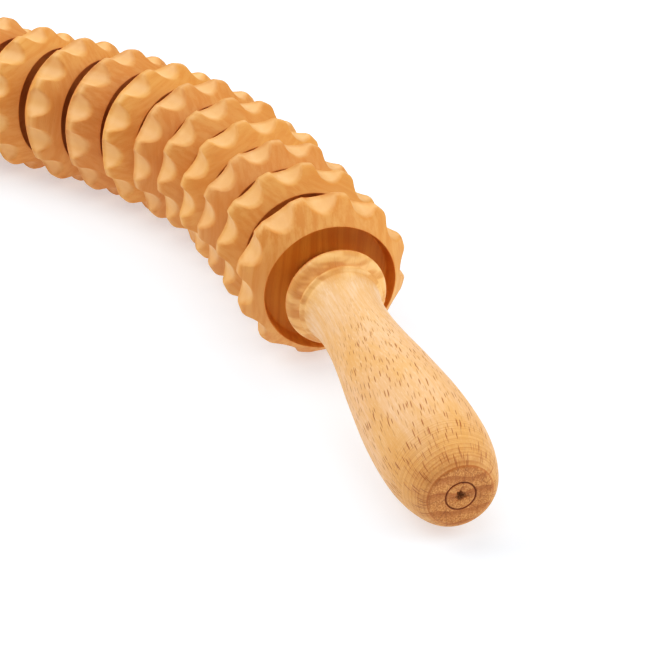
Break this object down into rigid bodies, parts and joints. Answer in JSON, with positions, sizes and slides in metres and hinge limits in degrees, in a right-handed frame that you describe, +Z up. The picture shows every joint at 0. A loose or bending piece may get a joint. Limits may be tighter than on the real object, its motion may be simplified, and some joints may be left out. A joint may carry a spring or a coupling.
{
  "type": "flexible massage roller",
  "caption": "Flexible wooden massage roller: a curved row of scalloped wheels spinning on a bendable cord core between two turned handles.",
  "frame": {"origin": "bottom centre of the bounding box, on the surface that the roller lies on", "axes": "+X along the chord from the far handle's end to the near handle's end, +Y towards the side that the row bows to, +Z up"},
  "size_m": [0.5244, 0.1238, 0.0564],
  "materials": {
    "wheel_wood": "smooth, lightly oiled",
    "handle_wood": "smooth, lightly oiled",
    "core_cord": "braided, matt"
  },
  "bodies": {
    "near_end": {"handle_near": "handle_wood", "core_end_near": "core_cord"},
    "near_link": {"core_link_near": "core_cord"},
    "core_02_body": {"core_02": "core_cord"},
    "core_03_body": {"core_03": "core_cord"},
    "core_04_body": {"core_04": "core_cord"},
    "core_05_body": {"core_05": "core_cord"},
    "core_06_body": {"core_06": "core_cord"},
    "core_07_body": {"core_07": "core_cord"},
    "core_08_body": {"core_08": "core_cord"},
    "core_09_body": {"core_09": "core_cord"},
    "core_10_body": {"core_10": "core_cord"},
    "core_11_body": {"core_11": "core_cord"},
    "core_12_body": {"core_12": "core_cord"},
    "core_13_body": {"core_13": "core_cord"},
    "far_link": {"core_link_far": "core_cord"},
    "far_end": {"handle_far": "handle_wood", "core_end_far": "core_cord"},
    "wheel_01_body": {"wheel_01": "wheel_wood"},
    "wheel_02_body": {"wheel_02": "wheel_wood"},
    "wheel_03_body": {"wheel_03": "wheel_wood"},
    "wheel_04_body": {"wheel_04": "wheel_wood"},
    "wheel_05_body": {"wheel_05": "wheel_wood"},
    "wheel_06_body": {"wheel_06": "wheel_wood"},
    "wheel_07_body": {"wheel_07": "wheel_wood"},
    "wheel_08_body": {"wheel_08": "wheel_wood"},
    "wheel_09_body": {"wheel_09": "wheel_wood"},
    "wheel_10_body": {"wheel_10": "wheel_wood"},
    "wheel_11_body": {"wheel_11": "wheel_wood"},
    "wheel_12_body": {"wheel_12": "wheel_wood"},
    "wheel_13_body": {"wheel_13": "wheel_wood"},
    "wheel_14_body": {"wheel_14": "wheel_wood"}
  },
  "joints": [
    {"name": "core_bend_01", "type": "hinge", "parent": "core_02_body", "child": "near_link", "pos_m": [0.12779, 0.00411, 0.02843], "axis": [0, 0, -1], "range_deg": [-1.21, 0.06]},
    {"name": "core_bend_02", "type": "hinge", "parent": "core_03_body", "child": "core_02_body", "pos_m": [0.11293, 0.0103, 0.02843], "axis": [0, 0, -1], "range_deg": [-1.61, 0.07]},
    {"name": "core_bend_03", "type": "hinge", "parent": "core_04_body", "child": "core_03_body", "pos_m": [0.09139, 0.01892, 0.02843], "axis": [0, 0, -1], "range_deg": [-5.61, 0.23]},
    {"name": "core_bend_04", "type": "hinge", "parent": "core_05_body", "child": "core_04_body", "pos_m": [0.06946, 0.02647, 0.02843], "axis": [0, 0, -1], "range_deg": [-10.41, 0.42]},
    {"name": "core_bend_05", "type": "hinge", "parent": "core_06_body", "child": "core_05_body", "pos_m": [0.04693, 0.03201, 0.02843], "axis": [0, 0, -1], "range_deg": [-14.81, 0.59]},
    {"name": "core_bend_06", "type": "hinge", "parent": "core_07_body", "child": "core_06_body", "pos_m": [0.02387, 0.0346, 0.02843], "axis": [0, 0, -1], "range_deg": [-15.2, 0.6]},
    {"name": "core_bend_07", "type": "hinge", "parent": "core_07_body", "child": "core_08_body", "pos_m": [0.00068, 0.03411, 0.02843], "axis": [0, 0, 1], "range_deg": [-12.01, 0.48]},
    {"name": "core_bend_08", "type": "hinge", "parent": "core_08_body", "child": "core_09_body", "pos_m": [-0.02234, 0.03121, 0.02843], "axis": [0, 0, 1], "range_deg": [-8.81, 0.36]},
    {"name": "core_bend_09", "type": "hinge", "parent": "core_09_body", "child": "core_10_body", "pos_m": [-0.04507, 0.02654, 0.02843], "axis": [0, 0, 1], "range_deg": [-4.01, 0.17]},
    {"name": "core_bend_10", "type": "hinge", "parent": "core_10_body", "child": "core_11_body", "pos_m": [-0.06762, 0.02109, 0.02843], "axis": [0, 0, 1], "range_deg": [-1.61, 0.07]},
    {"name": "core_bend_11", "type": "hinge", "parent": "core_11_body", "child": "core_12_body", "pos_m": [-0.09009, 0.01532, 0.02843], "axis": [0, 0, 1], "range_deg": [-4.81, 0.2]},
    {"name": "core_bend_12", "type": "hinge", "parent": "core_12_body", "child": "core_13_body", "pos_m": [-0.1123, 0.00862, 0.02843], "axis": [0, 0, 1], "range_deg": [-6.01, 0.25]},
    {"name": "core_bend_13", "type": "hinge", "parent": "core_13_body", "child": "far_link", "pos_m": [-0.12745, 0.00317, 0.02843], "axis": [0, 0, 1], "range_deg": [-6.01, 0.25]},
    {"name": "handle_droop_near", "type": "hinge", "parent": "near_link", "child": "near_end", "pos_m": [0.14084, -0.00149, 0.02843], "axis": [-0.394, -0.9191, 0], "range_deg": [-0.7, 14]},
    {"name": "handle_droop_far", "type": "hinge", "parent": "far_link", "child": "far_end", "pos_m": [-0.14054, -0.00233, 0.02843], "axis": [-0.3874, 0.9219, 0], "range_deg": [-0.7, 14]},
    {"name": "wheel_01_spin", "type": "hinge", "parent": "near_end", "child": "wheel_01_body", "pos_m": [0.14496, -0.00325, 0.02796], "axis": [0.9141, -0.3919, -0.1045], "continuous": true},
    {"name": "wheel_02_spin", "type": "hinge", "parent": "core_02_body", "child": "wheel_02_body", "pos_m": [0.12364, 0.00584, 0.02843], "axis": [0.9232, -0.3844, 0], "continuous": true},
    {"name": "wheel_03_spin", "type": "hinge", "parent": "core_03_body", "child": "wheel_03_body", "pos_m": [0.10216, 0.01461, 0.02843], "axis": [0.9284, -0.3715, 0], "continuous": true},
    {"name": "wheel_04_spin", "type": "hinge", "parent": "core_04_body", "child": "wheel_04_body", "pos_m": [0.08042, 0.02269, 0.02843], "axis": [0.9455, -0.3257, 0], "continuous": true},
    {"name": "wheel_05_spin", "type": "hinge", "parent": "core_05_body", "child": "wheel_05_body", "pos_m": [0.05819, 0.02924, 0.02843], "axis": [0.9711, -0.2386, 0], "continuous": true},
    {"name": "wheel_06_spin", "type": "hinge", "parent": "core_06_body", "child": "wheel_06_body", "pos_m": [0.0354, 0.0333, 0.02843], "axis": [0.9938, -0.1116, 0], "continuous": true},
    {"name": "wheel_07_spin", "type": "hinge", "parent": "core_07_body", "child": "wheel_07_body", "pos_m": [0.01227, 0.03435, 0.02843], "axis": [0.9998, 0.0208, 0], "continuous": true},
    {"name": "wheel_08_spin", "type": "hinge", "parent": "core_08_body", "child": "wheel_08_body", "pos_m": [-0.01083, 0.03266, 0.02843], "axis": [0.9921, 0.1252, 0], "continuous": true},
    {"name": "wheel_09_spin", "type": "hinge", "parent": "core_09_body", "child": "wheel_09_body", "pos_m": [-0.0337, 0.02888, 0.02843], "axis": [0.9796, 0.201, 0], "continuous": true},
    {"name": "wheel_10_spin", "type": "hinge", "parent": "core_10_body", "child": "wheel_10_body", "pos_m": [-0.05634, 0.02382, 0.02843], "axis": [0.972, 0.235, 0], "continuous": true},
    {"name": "wheel_11_spin", "type": "hinge", "parent": "core_11_body", "child": "wheel_11_body", "pos_m": [-0.07885, 0.01821, 0.02843], "axis": [0.9686, 0.2486, 0], "continuous": true},
    {"name": "wheel_12_spin", "type": "hinge", "parent": "core_12_body", "child": "wheel_12_body", "pos_m": [-0.10119, 0.01197, 0.02843], "axis": [0.9573, 0.2889, 0], "continuous": true},
    {"name": "wheel_13_spin", "type": "hinge", "parent": "core_13_body", "child": "wheel_13_body", "pos_m": [-0.12322, 0.00469, 0.02843], "axis": [0.9409, 0.3386, 0], "continuous": true},
    {"name": "wheel_14_spin", "type": "hinge", "parent": "far_end", "child": "wheel_14_body", "pos_m": [-0.14467, -0.00407, 0.02796], "axis": [0.9169, 0.3853, 0.1045], "continuous": true}
  ],
  "couplings": [
    {"joint": "core_bend_01", "follows": "core_bend_06", "ratio": 0.078947},
    {"joint": "core_bend_02", "follows": "core_bend_06", "ratio": 0.10526},
    {"joint": "core_bend_03", "follows": "core_bend_06", "ratio": 0.36842},
    {"joint": "core_bend_04", "follows": "core_bend_06", "ratio": 0.68421},
    {"joint": "core_bend_05", "follows": "core_bend_06", "ratio": 0.97368},
    {"joint": "core_bend_07", "follows": "core_bend_06", "ratio": 0.78947},
    {"joint": "core_bend_08", "follows": "core_bend_06", "ratio": 0.57895},
    {"joint": "core_bend_09", "follows": "core_bend_06", "ratio": 0.26316},
    {"joint": "core_bend_10", "follows": "core_bend_06", "ratio": 0.10526},
    {"joint": "core_bend_11", "follows": "core_bend_06", "ratio": 0.31579},
    {"joint": "core_bend_12", "follows": "core_bend_06", "ratio": 0.39474},
    {"joint": "core_bend_13", "follows": "core_bend_06", "ratio": 0.39474}
  ]
}
